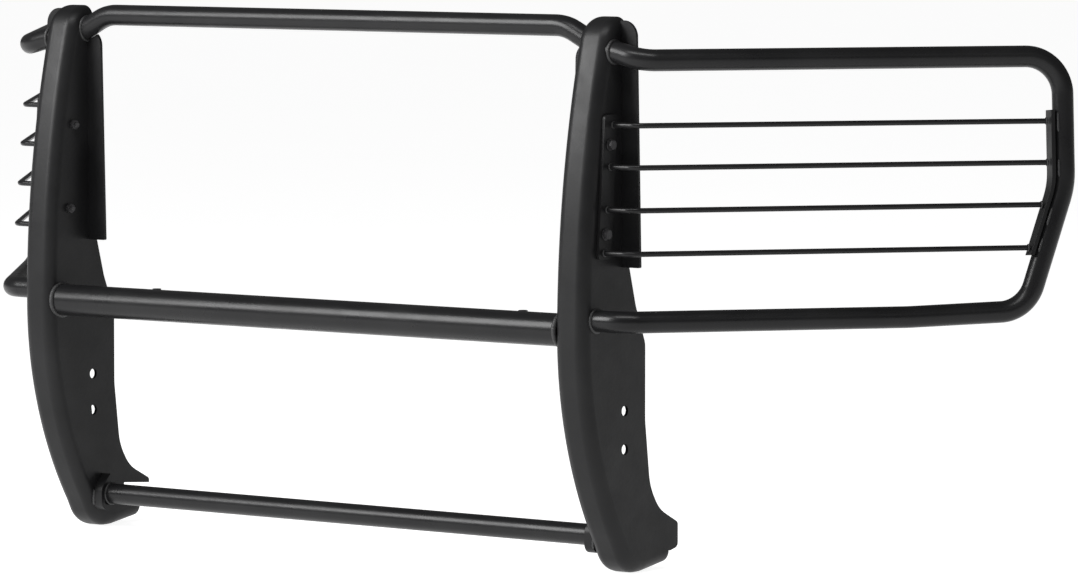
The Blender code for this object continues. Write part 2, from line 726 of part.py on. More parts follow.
def main():
    clear_scene()
    parts = make_collection(MODEL)
    cutters = make_collection("cutters")
    steel = make_material("black_powder_coat", (0.022, 0.022, 0.023), 0.42, 0.0)
    zinc = make_material("black_zinc_fastener", (0.030, 0.030, 0.031), 0.34, 0.6)

    half_top = rounded(top_tube_path(TOP_TUBE_END_X + 0.003))
    hoop_line = hoop_path(WING_PLATE_END - 0.003)
    low_line = [
        (UPRIGHT_INNER_X - 0.030, LOW_TUBE_Y, LOW_TUBE_Z),
        (LOW_TUBE_END_X + 0.004, LOW_TUBE_Y, LOW_TUBE_Z),
    ]
    openings = (
        ("top_tube_end", half_top, TUBE_R),
        ("hoop_ends", hoop_line, TUBE_R),
        ("low_tube_end", low_line, TUBE_R),
    )
    right = [build_upright(parts, cutters, openings, steel)]
    build_cross_tubes(parts, steel)
    right.append(build_saddle(parts, steel))
    right.append(build_hoop(parts, steel))
    right.append(build_inner_bar(parts, cutters, steel))
    right.append(build_end_bar(parts, steel))
    right += build_rods(parts, steel)
    right += build_wing_bolts(parts, cutters, zinc)
    right += build_tab(parts, cutters, steel, zinc)
    for obj in right:
        mirrored(obj, obj.name.replace("right_", "left_"), parts)
    for obj in cutters.objects:
        obj.hide_render = True
        obj.display_type = "WIRE"
    origin = bpy.data.objects.new("guard_origin", None)
    origin.location = (0, -FRAME_BOLT_Y, -sum(FRAME_BOLT_ZS) / 2)
    parts.objects.link(origin)
    for obj in parts.objects:
        if obj != origin:
            obj.parent = origin


main()
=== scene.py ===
"""Looks of the front grille guard: smooth tubes, formed uprights, weld beads and powder coat.

Shapes are drawn in the CAD model's design axes: y counted back from the most forward
line of the noses, z up from the soles.  Each mesh is then moved into the shared frame.
"""
from math import atan2, ceil, cos, pi, radians, sin, sqrt, tan

import bmesh
import bpy
from mathutils import Matrix, Vector


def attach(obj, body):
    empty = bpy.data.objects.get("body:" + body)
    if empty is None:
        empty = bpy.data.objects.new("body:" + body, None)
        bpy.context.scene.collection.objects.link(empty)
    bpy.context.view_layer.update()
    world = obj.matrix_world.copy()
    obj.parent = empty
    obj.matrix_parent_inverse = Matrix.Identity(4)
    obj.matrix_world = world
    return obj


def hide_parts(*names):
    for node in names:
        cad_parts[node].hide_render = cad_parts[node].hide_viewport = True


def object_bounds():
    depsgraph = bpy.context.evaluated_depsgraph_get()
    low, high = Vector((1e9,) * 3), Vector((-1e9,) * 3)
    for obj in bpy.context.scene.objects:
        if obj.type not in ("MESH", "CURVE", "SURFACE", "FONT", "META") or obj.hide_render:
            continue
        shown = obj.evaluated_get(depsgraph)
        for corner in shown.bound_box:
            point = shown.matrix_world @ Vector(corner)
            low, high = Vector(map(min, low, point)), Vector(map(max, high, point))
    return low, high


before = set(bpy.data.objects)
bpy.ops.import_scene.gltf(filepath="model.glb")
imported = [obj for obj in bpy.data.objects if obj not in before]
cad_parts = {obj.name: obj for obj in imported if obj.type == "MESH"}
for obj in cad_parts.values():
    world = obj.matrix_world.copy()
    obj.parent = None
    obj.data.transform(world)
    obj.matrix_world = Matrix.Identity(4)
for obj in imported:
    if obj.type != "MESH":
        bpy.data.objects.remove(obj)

CAD_BOX = [[float(v) for v in corner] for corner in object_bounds()]

# ---------------------------------------------------------------- dimensions (metres)
# The frame's origin is midway between the frame-bracket bolt holes, at these design places.
FRAME_BOLT_Y = 0.099
FRAME_BOLT_ZS = (0.242, 0.186)
SHIFT = Vector((0, -FRAME_BOLT_Y, -sum(FRAME_BOLT_ZS) / 2))
GAP = 0.0003

UPRIGHT_INNER_X = 0.483
UPRIGHT_OUTER_X = 0.540
PLATE = 0.0048
NOSE_BEND = 0.018
UPRIGHT_TOP = 0.810
SOLE_Z = 0.003
NOSE_Z = 0.355
NOSE_R_UP = 1.650
NOSE_R_DOWN = 0.590
HEAD_R = 0.045
TOE_R = 0.047
WEB_HEAD_Y = 0.102
WEB_TAIL = (0.206, 0.012)
TAIL_END = (0.2095, 0.0295)     # where a side plate's rear edge meets the sole's bend
FLANGE_Y = 0.090
FLANGE_BOTTOM = 0.450
FLANGE_WIDTH_LOW = 0.0325
FLANGE_WIDTH_HIGH = 0.0255
FLANGE_TOP_OUTER = 0.805
FLANGE_TOP_INNER = 0.772
FLANGE_CORNER_R = 0.024
FRAME_BOLT_HOLE_R = 0.0078

TUBE_R = 0.015875
PIPE_R = 0.02413
TUBE_WALL = 0.0026
TUBE_HOLE_GAP = 0.0009
PIPE_WALL = 0.0037
TOP_TUBE_Y = 0.089
TOP_TUBE_Z = 0.796
TOP_TUBE_ELBOW_X = 0.441
TOP_TUBE_SLOPE = radians(27)
TOP_TUBE_END_X = 0.495
TOP_TUBE_BEND = 0.075
MID_TUBE_Y = 0.028
MID_TUBE_Z = 0.3605
LOW_TUBE_Y = 0.123
LOW_TUBE_Z = 0.055
LOW_TUBE_END_X = 0.512

SADDLE_WIDTH = 0.016
SADDLE_WALL = 0.008
SADDLE_TOP = 0.074
SADDLE_REAR_Y = 0.164

WING_SWEEP = radians(51.8)
WING_ROOT_X = 0.588
WING_TOP_Z = 0.749
WING_LOW_Z = 0.376
WING_TOP_Y = 0.073
WING_LOW_Y = 0.031
WING_CORNER = (0.633, 0.750)
WING_SHOULDER = (0.650, 0.563)
WING_FOOT = (0.604, 0.382)
WING_CORNER_R = 0.056
WING_SHOULDER_R = 0.120
WING_ELBOW_R = 0.045
WING_PLATE_END = 0.529
WING_TOP_PLATE_Z = 0.759

ROD_R = 0.004
ROD_ZS = (0.656, 0.596, 0.535, 0.473)
ROD_BEND = 0.022
BAR_THICK = 0.005
BAR_BOTTOM = (0.028, 0.464)
BAR_TOP = (0.044, 0.671)
BAR_WIDTH = 0.030
END_BAR_THICK = 0.006
END_BAR_WIDTH = 0.025
END_BAR_TOP = 0.672
END_BAR_BOTTOM = 0.462
WING_BOLTS = ((0.0445, 0.500), (0.0550, 0.628))

BOLT_R = 0.004
BOLT_PITCH = 0.00125
BOLT_HEAD_AF = 0.013
BOLT_HEAD_H = 0.0053
WASHER_R = 0.0085
WASHER_H = 0.0016
NUT_H = 0.0065

TAB_X = 0.3535
TAB_WIDTH = 0.020
TAB_THICK = 0.005
TAB_TOP_Z = 0.3735
TAB_REAR_Y = 0.112
TAB_BOLT_Y = 0.100

# Fineness of the visual meshes.
ARC_STEP = radians(4)
NOSE_STEPS = 60
BEND_STEPS = 10
TUBE_SIDES_RES = 10             # curve bevel resolution: 24 sides to a turn
ROD_SIDES_RES = 5
BEAD_SIDES = 10
EDGE_ROUND = 0.0007             # powder coat rounds every cut edge

CENTRE = bpy.context.scene.collection


# ---------------------------------------------------------------- materials
class Nodes:
    """A short way to add linked shader nodes to one material."""

    def __init__(self, name):
        self.material = bpy.data.materials.new(name)
        self.material.use_nodes = True
        self.tree = self.material.node_tree
        self.shader = self.tree.nodes["Principled BSDF"]
        self.place = self.tree.nodes.new("ShaderNodeTexCoord").outputs["Object"]

    def add(self, kind, settings=(), links=()):
        node = self.tree.nodes.new(kind)
        for socket, value in dict(settings).items():
            node.inputs[socket].default_value = value
        for socket, source in dict(links).items():
            self.tree.links.new(source, node.inputs[socket])
        return node

    def noise(self, scale, detail, roughness=0.5):
        node = self.add(
            "ShaderNodeTexNoise",
            {"Scale": scale, "Detail": detail, "Roughness": roughness},
            {"Vector": self.place},
        )
        return node.outputs["Fac"]

    def spread(self, source, low, high, from_low=0.3, from_high=0.7):
        node = self.add(
            "ShaderNodeMapRange",
            {"From Min": from_low, "From Max": from_high, "To Min": low, "To Max": high},
            {"Value": source},
        )
        return node.outputs["Result"]

    def tint(self, factor, first, second):
        node = self.tree.nodes.new("ShaderNodeMix")
        node.data_type = "RGBA"
        node.inputs["A"].default_value = (*first, 1)
        node.inputs["B"].default_value = (*second, 1)
        self.tree.links.new(factor, node.inputs["Factor"])
        return node.outputs["Result"]

    def bump(self, height, strength, distance, below=None):
        links = {"Height": height}
        if below is not None:
            links["Normal"] = below
        node = self.add("ShaderNodeBump", {"Strength": strength, "Distance": distance}, links)
        return node.outputs["Normal"]

    def feed(self, socket, source):
        self.tree.links.new(source, self.shader.inputs[socket])


def powder_coat(name, dark, light, rough_low, rough_high, peel):
    """Semi-gloss black powder coat: orange peel, faint clouding and settled dust."""
    made = Nodes(name)
    cloud = made.noise(9.0, 3.0)
    grain = made.noise(900.0, 2.0, 0.6)
    mixed = made.tint(made.spread(cloud, 0.0, 1.0), dark, light)
    fleck = made.tree.nodes.new("ShaderNodeMix")
    fleck.data_type = "RGBA"
    fleck.blend_type = "MULTIPLY"
    fleck.inputs["Factor"].default_value = 0.35
    made.tree.links.new(mixed, fleck.inputs["A"])
    shade = made.tint(made.spread(grain, 0.0, 1.0), (0.55, 0.55, 0.56), (1.0, 1.0, 1.0))
    made.tree.links.new(shade, fleck.inputs["B"])
    made.feed("Base Color", fleck.outputs["Result"])
    made.feed("Roughness", made.spread(made.noise(26.0, 4.0), rough_low, rough_high))
    ripple = made.bump(made.noise(170.0, 2.0, 0.4), 0.22 * peel, 0.0006)
    fine = made.bump(grain, 0.10 * peel, 0.0002, ripple)
    made.feed("Normal", fine)
    made.shader.inputs["Metallic"].default_value = 0.0
    made.shader.inputs["Specular IOR Level"].default_value = 0.19
    made.shader.inputs["Coat Weight"].default_value = 0.03
    made.shader.inputs["Coat Roughness"].default_value = 0.22
    return made.material


def zinc_plate(name):
    """Black zinc on fasteners: a darker metal with fine brushed variation."""
    made = Nodes(name)
    speck = made.noise(1400.0, 3.0, 0.6)
    steel = made.tint(made.spread(speck, 0.0, 1.0), (0.020, 0.020, 0.022), (0.055, 0.053, 0.055))
    made.feed("Base Color", steel)
    made.feed("Roughness", made.spread(made.noise(300.0, 4.0), 0.28, 0.46))
    made.feed("Normal", made.bump(speck, 0.18, 0.00015))
    made.shader.inputs["Metallic"].default_value = 0.55
    return made.material


def weld_finish(name):
    """Powder coat over a weld: a little rougher, with fine spatter."""
    made = Nodes(name)
    grain = made.noise(520.0, 4.0, 0.65)
    bead = made.tint(made.spread(grain, 0.0, 1.0), (0.0090, 0.0090, 0.0095), (0.0150, 0.0150, 0.0155))
    made.feed("Base Color", bead)
    made.feed("Roughness", made.spread(made.noise(120.0, 4.0), 0.36, 0.55))
    made.feed("Normal", made.bump(grain, 0.35, 0.0004))
    return made.material


# ---------------------------------------------------------------- mesh helpers
def rounded(corners, closed=False):
    """A polyline from (point, radius) pairs, each corner turned by its radius."""
    pts = [Vector(p) for p, _ in corners]
    radii = [r for _, r in corners]
    out = []
    count = len(pts)
    for i, (point, radius) in enumerate(zip(pts, radii)):
        inside = closed or 0 < i < count - 1
        if radius == 0 or not inside:
            out.append(point)
            continue
        before = (pts[i - 1] - point).normalized()
        after = (pts[(i + 1) % count] - point).normalized()
        turn = pi - before.angle(after)
        if turn < 1e-4:
            out.append(point)
            continue
        reach = radius * tan(turn / 2)
        centre = point + (before + after).normalized() * (radius / cos(turn / 2))
        first = point + before * reach - centre
        last = point + after * reach - centre
        steps = max(2, ceil(turn / ARC_STEP))
        for k in range(steps + 1):
            a = turn * k / steps
            out.append(centre + (first * sin(turn - a) + last * sin(a)) / sin(turn))
    return out


def evaluated_mesh(obj):
    """The object's evaluated mesh in world space, with its caps welded."""
    bpy.context.view_layer.update()
    graph = bpy.context.evaluated_depsgraph_get()
    mesh = bpy.data.meshes.new_from_object(obj.evaluated_get(graph), depsgraph=graph)
    mesh.transform(obj.matrix_world)
    bm = bmesh.new()
    bm.from_mesh(mesh)
    bmesh.ops.remove_doubles(bm, verts=bm.verts, dist=0.00001)
    bmesh.ops.recalc_face_normals(bm, faces=bm.faces)
    bm.to_mesh(mesh)
    bm.free()
    return mesh


def new_object(name, mesh):
    obj = bpy.data.objects.new(name, mesh)
    CENTRE.objects.link(obj)
    return obj


def drop(obj):
    bpy.data.objects.remove(obj, do_unlink=True)


def extrude_outline(name, outline, x0, x1):
    """A (y, z) outline filled and extruded from x0 to x1."""
    curve = bpy.data.curves.new(name, "CURVE")
    curve.dimensions = "2D"
    curve.fill_mode = "BOTH"
    curve.extrude = (x1 - x0) / 2
    spline = curve.splines.new("POLY")
    spline.points.add(len(outline) - 1)
    for point, (y, z) in zip(spline.points, outline):
        point.co = (y, z, 0, 1)
    spline.use_cyclic_u = True
    guide = new_object(name + "_guide", curve)
    guide.matrix_world = Matrix(((0, 0, 1, (x0 + x1) / 2), (1, 0, 0, 0), (0, 1, 0, 0), (0, 0, 0, 1)))
    mesh = evaluated_mesh(guide)
    drop(guide)
    return new_object(name, mesh)


def boolean(target, tool, operation):
    """Applies an exact boolean with tool, which is then removed."""
    modifier = target.modifiers.new("cut", "BOOLEAN")
    modifier.operation = operation
    modifier.solver = "EXACT"
    modifier.object = tool
    mesh = evaluated_mesh(target)
    target.modifiers.remove(modifier)
    target.data = mesh
    drop(tool)


def cylinder(name, start, end, radius, sides):
    start = Vector(start)
    end = Vector(end)
    axis = end - start
    bm = bmesh.new()
    bmesh.ops.create_cone(
        bm, cap_ends=True, segments=sides, radius1=radius, radius2=radius, depth=axis.length,
    )
    turn = axis.to_track_quat("Z", "Y").to_matrix().to_4x4()
    bmesh.ops.transform(bm, matrix=Matrix.Translation((start + end) / 2) @ turn, verts=bm.verts)
    mesh = bpy.data.meshes.new(name)
    bm.to_mesh(mesh)
    bm.free()
    return new_object(name, mesh)


def swept(name, path, radius, resolution, wall=0.0):
    """A round bar along a path, or with a wall thickness a tube with open ends."""
    curve = bpy.data.curves.new(name, "CURVE")
    curve.dimensions = "3D"
    curve.bevel_depth = radius
    curve.bevel_resolution = resolution
    curve.use_fill_caps = wall == 0
    curve.twist_mode = "MINIMUM"
    spline = curve.splines.new("POLY")
    spline.points.add(len(path) - 1)
    for point, place in zip(spline.points, path):
        point.co = (*place, 1)
    guide = new_object(name + "_guide", curve)
    mesh = evaluated_mesh(guide)
    drop(guide)
    obj = new_object(name, mesh)
    if wall:
        solidify = obj.modifiers.new("wall", "SOLIDIFY")
        solidify.thickness = wall
        solidify.offset = -1
        solidify.use_even_offset = True
        obj.data = evaluated_mesh(obj)
        obj.modifiers.clear()
    return obj


def soften(obj, width=EDGE_ROUND, segments=3):
    """Rounds the cut edges a little."""
    bevel = obj.modifiers.new("edges", "BEVEL")
    bevel.width = width
    bevel.segments = segments
    bevel.limit_method = "ANGLE"
    bevel.angle_limit = radians(40)
    bevel.use_clamp_overlap = True
    return obj


def finish_shading(obj, angle=38):
    obj.data.shade_smooth()
    obj.data.set_sharp_from_angle(angle=radians(angle))
    normals = obj.modifiers.new("normals", "WEIGHTED_NORMAL")
    normals.keep_sharp = True
    normals.weight = 90


def settle(obj, material, slot, *nodes, body="root"):
    """Moves a finished piece into the shared frame, gives it its finish and lets it ride."""
    obj.data.transform(Matrix.Translation(SHIFT))
    obj.data.materials.clear()
    obj.data.materials.append(material)
    if nodes:
        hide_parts(*nodes)
    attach(obj, body)
    return obj


def mirrored(obj, name):
    """The same piece on the left side."""
    mesh = evaluated_mesh(obj)
    mesh.transform(Matrix.Scale(-1, 4, (1, 0, 0)))
    mesh.flip_normals()
    return new_object(name, mesh)


def both_sides(obj, stem, material, slot, nodes, angle=38):
    """Settles a right-hand piece and its mirror image on the left."""
    left = mirrored(obj, "left_" + stem)
    baked = evaluated_mesh(obj)
    obj.modifiers.clear()
    obj.data = baked
    obj.name = "right_" + stem
    for piece, side in ((obj, "right_"), (left, "left_")):
        finish_shading(piece, angle)
        settle(piece, material, slot, *[side + node for node in nodes])
    return obj, left


# ---------------------------------------------------------------- wing geometry
def root_y(z):
    """The wing's root line leans forward towards its foot."""
    return WING_LOW_Y + (WING_TOP_Y - WING_LOW_Y) * (z - WING_LOW_Z) / (WING_TOP_Z - WING_LOW_Z)


def wing_point(along, z):
    """A point in the wing's plane, at a distance along the wing and a height."""
    x = WING_ROOT_X + along * cos(WING_SWEEP)
    return (x, root_y(z) + along * sin(WING_SWEEP), z)


def outer_tube_along(z):
    """Distance along the wing of the outer tube's centre line at height z."""
    low, high = (WING_FOOT, WING_SHOULDER) if z < WING_SHOULDER[1] else (WING_SHOULDER, WING_CORNER)
    share = (z - low[1]) / (high[1] - low[1])
    return low[0] + (high[0] - low[0]) * share


def hoop_path(end_x):
    """Centre line of a wing's hoop, from the upper to the lower end in the upright."""
    top_y = root_y(WING_TOP_Z)
    low_y = root_y(WING_LOW_Z)
    corners = [
        ((end_x, top_y, WING_TOP_PLATE_Z + 0.003), 0),
        ((UPRIGHT_OUTER_X + 0.012, top_y, WING_TOP_PLATE_Z - 0.001), 0.150),
        (wing_point(0, WING_TOP_Z), WING_ELBOW_R),
        (wing_point(*WING_CORNER), WING_CORNER_R),
        (wing_point(*WING_SHOULDER), WING_SHOULDER_R),
        (wing_point(*WING_FOOT), WING_CORNER_R),
        (wing_point(0.425, WING_LOW_Z), 0.300),
        (wing_point(0, WING_LOW_Z), WING_ELBOW_R),
        ((end_x, low_y, WING_LOW_Z), 0),
    ]
    return rounded(corners)


def rod_path(z):
    """Centre line of a rod, from the inner bar's face to the end bar."""
    start_x = UPRIGHT_OUTER_X + GAP + BAR_THICK + GAP
    end_along = outer_tube_along(z) - TUBE_R - END_BAR_THICK - 0.0035
    corners = [
        ((start_x, root_y(z), z), 0),
        (wing_point(0, z), ROD_BEND),
        (wing_point(end_along, z), 0),
    ]
    return rounded(corners)


def top_tube_path(end_x):
    """Centre line of half of the top cross tube: straight, then down to the upright."""
    fall = tan(TOP_TUBE_SLOPE) * (end_x - TOP_TUBE_ELBOW_X)
    return [
        ((0.0, TOP_TUBE_Y, TOP_TUBE_Z), 0),
        ((TOP_TUBE_ELBOW_X, TOP_TUBE_Y, TOP_TUBE_Z), TOP_TUBE_BEND),
        ((end_x, TOP_TUBE_Y, TOP_TUBE_Z - fall), 0),
    ]


# ---------------------------------------------------------------- uprights
def nose_offset(z, inset=0.0):
    """How far behind the most forward line the web lies at height z."""
    radius = NOSE_R_UP if z > NOSE_Z else NOSE_R_DOWN
    return radius - sqrt((radius - inset) ** 2 - (z - NOSE_Z) ** 2)


def web_path(inset=0.0):
    """The web's outline from the tail under the foot, round the nose, to the head."""
    low_z = 0.045
    high_z = 0.773
    tail_y, tail_z = WEB_TAIL
    low_lean = atan2(NOSE_Z - low_z, NOSE_R_DOWN - inset)
    floor_z = SOLE_Z + inset
    toe = (nose_offset(low_z, inset) + (low_z - floor_z) * tan(low_lean), floor_z)
    head_z = UPRIGHT_TOP - inset
    high_lean = atan2(high_z - NOSE_Z, NOSE_R_UP - inset)
    head = (nose_offset(high_z, inset) + (head_z - high_z) * tan(high_lean), head_z)
    corners = [((tail_y, tail_z + inset), 0), ((0.150, floor_z), 0.050), (toe, TOE_R - inset)]
    for i in range(NOSE_STEPS + 1):
        z = low_z + (high_z - low_z) * i / NOSE_STEPS
        corners.append(((nose_offset(z, inset), z), 0))
    corners += [(head, HEAD_R - inset), ((WEB_HEAD_Y, head_z), 0)]
    return [tuple(p) for p in rounded(corners)]


def flange_plate(name, root_x, side, top):
    """A flange in the x, z plane: wider at the bottom, round at its upper corner."""
    corners = [
        ((0.0, FLANGE_BOTTOM), 0), ((FLANGE_WIDTH_LOW + 0.002, FLANGE_BOTTOM), 0.002),
        ((FLANGE_WIDTH_HIGH + 0.002, top), FLANGE_CORNER_R), ((0.0, top), 0),
    ]
    outline = [tuple(p) for p in rounded(corners, closed=True)]
    flange = extrude_outline(name, outline, 0.0, PLATE)
    flange.data.transform(Matrix(((0, side, 0, root_x), (1, 0, 0, FLANGE_Y), (0, 0, 1, 0), (0, 0, 0, 1))))
    bm = bmesh.new()
    bm.from_mesh(flange.data)
    bmesh.ops.recalc_face_normals(bm, faces=bm.faces)
    bm.to_mesh(flange.data)
    bm.free()
    return flange


def plate_edge(side):
    """The rear edge of a side plate, from the head down to the tail of the foot."""
    flange_rear = FLANGE_Y + PLATE
    head = UPRIGHT_TOP - NOSE_BEND
    top = [((0.098, head - 0.006), 0.003), ((flange_rear, head - 0.013), 0.003)]
    if side == "inner":
        # A slot, open to the rear, takes the end of the top tube.
        top = [
            ((flange_rear, head - 0.004), 0.001), ((TOP_TUBE_Y - 0.016, head - 0.006), 0.012),
            ((TOP_TUBE_Y - 0.016, 0.757), 0.014), ((flange_rear, 0.755), 0.001),
        ]
    low = [
        ((flange_rear, 0.460), 0.003), ((0.109, 0.450), 0.012), ((0.125, 0.392), 0.060),
        ((0.148, 0.337), 0.030), ((0.148, 0.225), 0.100), ((0.160, 0.128), 0.080),
        ((0.182, 0.093), 0.060), ((0.2285, 0.070), 0.006),
    ]
    tail = [((0.2285, 0.034), 0.008), (TAIL_END, 0)]
    if side == "inner":
        floor = LOW_TUBE_Z - TUBE_R - GAP
        roof = LOW_TUBE_Z + TUBE_R + GAP
        tail = [
            ((0.2285, roof - 0.0083), 0.001), ((LOW_TUBE_Y, roof), 0),
            ((LOW_TUBE_Y - TUBE_R, LOW_TUBE_Z), 0), ((LOW_TUBE_Y, floor), 0), ((0.2285, floor), 0.001),
        ] + tail
    return [tuple(p) for p in rounded([((0.100, head - 0.001), 0)] + top + low + tail)]


def side_plate(bm, front, side_x, side):
    """Fills a side plate between its bend line and its rear edge, round its bolt holes."""
    edges = [bm.edges.get((a, b)) or bm.edges.new((a, b)) for a, b in zip(front, front[1:])]
    rear = [bm.verts.new((side_x, y, z)) for y, z in plate_edge(side)]
    line = [front[-1], *rear, front[0]]
    edges += [bm.edges.new((a, b)) for a, b in zip(line, line[1:])]
    holes = [(FRAME_BOLT_Y, z, FRAME_BOLT_HOLE_R, 48) for z in FRAME_BOLT_ZS]
    holes += [(y, z, BOLT_R + GAP, 32) for y, z in WING_BOLTS]
    for y, z, radius, count in holes:
        turns = [2 * pi * i / count for i in range(count)]
        ring = [bm.verts.new((side_x, y + radius * cos(t), z + radius * sin(t))) for t in turns]
        edges += [bm.edges.new((ring[i], ring[(i + 1) % count])) for i in range(count)]
    bmesh.ops.triangle_fill(bm, edges=edges, use_beauty=True, normal=(1 if side == "outer" else -1, 0, 0))


def build_upright():
    """The formed channel: web, two side plates and their turned-out flanges."""
    outline = web_path()
    bend_line = web_path(NOSE_BEND)
    bm = bmesh.new()
    web_edges = []
    for side, side_x, outward in (("outer", UPRIGHT_OUTER_X, 1), ("inner", UPRIGHT_INNER_X, -1)):
        rows = []
        for k in range(BEND_STEPS + 1):
            a = pi / 2 * k / BEND_STEPS
            x = side_x - outward * NOSE_BEND * (1 - sin(a))
            rows.append([
                bm.verts.new((x, q[0] + (p[0] - q[0]) * cos(a), q[1] + (p[1] - q[1]) * cos(a)))
                for p, q in zip(outline, bend_line)
            ])
        for near, far in zip(rows, rows[1:]):
            for i in range(len(outline) - 1):
                bm.faces.new((near[i], near[i + 1], far[i + 1], far[i]))
        side_plate(bm, rows[-1], side_x, side)
        web_edges.append(rows[0])
    first, second = web_edges
    for i in range(len(outline) - 1):
        bm.faces.new((first[i], first[i + 1], second[i + 1], second[i]))
    bmesh.ops.recalc_face_normals(bm, faces=bm.faces)
    bm.faces.ensure_lookup_table()
    front_face = min(bm.faces, key=lambda f: f.calc_center_median().y)
    if front_face.normal.y > 0:
        bmesh.ops.reverse_faces(bm, faces=bm.faces)
    mesh = bpy.data.meshes.new("upright")
    bm.to_mesh(mesh)
    bm.free()
    shell = new_object("upright", mesh)
    solidify = shell.modifiers.new("sheet", "SOLIDIFY")
    solidify.thickness = PLATE
    solidify.offset = -1
    solidify.use_quality_normals = True
    shell.data = evaluated_mesh(shell)
    shell.modifiers.clear()
    flanges = (
        ("outer_flange", UPRIGHT_OUTER_X - 0.002, 1, FLANGE_TOP_OUTER),
        ("inner_flange", UPRIGHT_INNER_X + 0.002, -1, FLANGE_TOP_INNER),
    )
    for name, root_x, side, top in flanges:
        flange = flange_plate(name, root_x, side, top)
        if side < 0:
            line = rounded(top_tube_path(TOP_TUBE_END_X + 0.003))
            boolean(flange, swept("cut_tube", line, TUBE_R + TUBE_HOLE_GAP, 8), "DIFFERENCE")
        boolean(shell, flange, "UNION")
    return shell


# ---------------------------------------------------------------- tubes, rods and bars
def build_cross_tubes(coat):
    half = rounded(top_tube_path(TOP_TUBE_END_X))
    left = [Vector((-p.x, p.y, p.z)) for p in reversed(half[1:])]
    end = UPRIGHT_INNER_X - GAP
    lines = (
        ("top_cross_tube", left + half[1:], TUBE_R, TUBE_WALL),
        (
            "middle_cross_tube",
            [(-end, MID_TUBE_Y, MID_TUBE_Z), (end, MID_TUBE_Y, MID_TUBE_Z)],
            PIPE_R, PIPE_WALL,
        ),
        (
            "lower_cross_tube",
            [(-LOW_TUBE_END_X, LOW_TUBE_Y, LOW_TUBE_Z), (LOW_TUBE_END_X, LOW_TUBE_Y, LOW_TUBE_Z)],
            TUBE_R, TUBE_WALL,
        ),
    )
    for node, line, radius, wall in lines:
        tube = swept(node + "_smooth", line, radius, TUBE_SIDES_RES, wall)
        finish_shading(tube)
        settle(tube, coat, "black_powder_coat", node)


def build_saddle():
    """A C-shaped bracket round the front and underside of the lower cross tube."""
    front = LOW_TUBE_Y - TUBE_R - 2 * GAP
    floor = LOW_TUBE_Z - TUBE_R - 2 * GAP
    corners = [
        ((front - SADDLE_WALL, floor - SADDLE_WALL), SADDLE_WALL + 0.006),
        ((SADDLE_REAR_Y, floor - SADDLE_WALL), 0),
        ((SADDLE_REAR_Y, floor), 0),
        ((front, floor), 0.006),
        ((front, SADDLE_TOP - 0.012), 0.012),
        ((front + 0.020, SADDLE_TOP + 0.006), 0),
        ((front + 0.013, SADDLE_TOP + 0.012), 0),
        ((front - SADDLE_WALL, SADDLE_TOP - 0.008), 0.020),
    ]
    outline = [tuple(p) for p in rounded(corners, closed=True)]
    x1 = UPRIGHT_INNER_X - GAP
    return soften(extrude_outline("saddle", outline, x1 - SADDLE_WIDTH, x1))


def build_inner_bar():
    """The flat bar that bolts the wing's rods to the upright."""
    (y0, z0), (y1, z1) = BAR_BOTTOM, BAR_TOP
    corners = [
        ((y0, z0), 0.006), ((y0 + BAR_WIDTH, z0), 0.006),
        ((y1 + BAR_WIDTH, z1), 0.006), ((y1, z1), 0.006),
    ]
    outline = [tuple(p) for p in rounded(corners, closed=True)]
    x0 = UPRIGHT_OUTER_X + GAP
    bar = extrude_outline("inner_bar", outline, x0, x0 + BAR_THICK)
    for y, z in WING_BOLTS:
        boolean(bar, cylinder("cut_bar", (0.530, y, z), (0.560, y, z), BOLT_R + GAP, 32), "DIFFERENCE")
    return soften(bar)


def build_end_bar():
    """The flat bar inside the hoop's outer tube, where the rods end."""
    corner, shoulder, foot = Vector(WING_CORNER), Vector(WING_SHOULDER), Vector(WING_FOOT)
    near = TUBE_R + GAP
    upper = (corner - shoulder).normalized()
    lower = (foot - shoulder).normalized()
    middle = (upper + lower).normalized()
    inward = 1 / sin(upper.angle(lower) / 2)

    def at(z, offset):
        """A point of the outline at height z, offset inwards from the tube's centre."""
        line = upper if z > shoulder.y else lower
        return (outer_tube_along(z) - offset / abs(line.y), z)

    corners = []
    for offset, order in ((near, 1), (near + END_BAR_THICK, -1)):
        bend = shoulder + middle * offset * inward
        side = [
            (at(END_BAR_TOP, offset), 0),
            (tuple(bend), WING_SHOULDER_R - offset),
            (at(END_BAR_BOTTOM, offset), 0),
        ]
        corners += side[::order]
    outline = [tuple(p) for p in rounded(corners, closed=True)]
    bar = extrude_outline("end_bar", outline, -END_BAR_WIDTH / 2, END_BAR_WIDTH / 2)
    bar.data.transform(wing_matrix())
    bm = bmesh.new()
    bm.from_mesh(bar.data)
    bmesh.ops.recalc_face_normals(bm, faces=bm.faces)
    bm.to_mesh(bar.data)
    bm.free()
    return soften(bar)


def wing_matrix():
    """Local y is the distance along the wing, z the height and x goes across its plane."""
    rake = (WING_TOP_Y - WING_LOW_Y) / (WING_TOP_Z - WING_LOW_Z)
    ahead = Vector((cos(WING_SWEEP), sin(WING_SWEEP), 0))
    across = ahead.cross(Vector((0, rake, 1))).normalized()
    base = (WING_ROOT_X, root_y(0.0), 0)
    return Matrix((
        (across.x, ahead.x, 0, base[0]),
        (across.y, ahead.y, rake, base[1]),
        (across.z, 0, 1, base[2]),
        (0, 0, 0, 1),
    ))


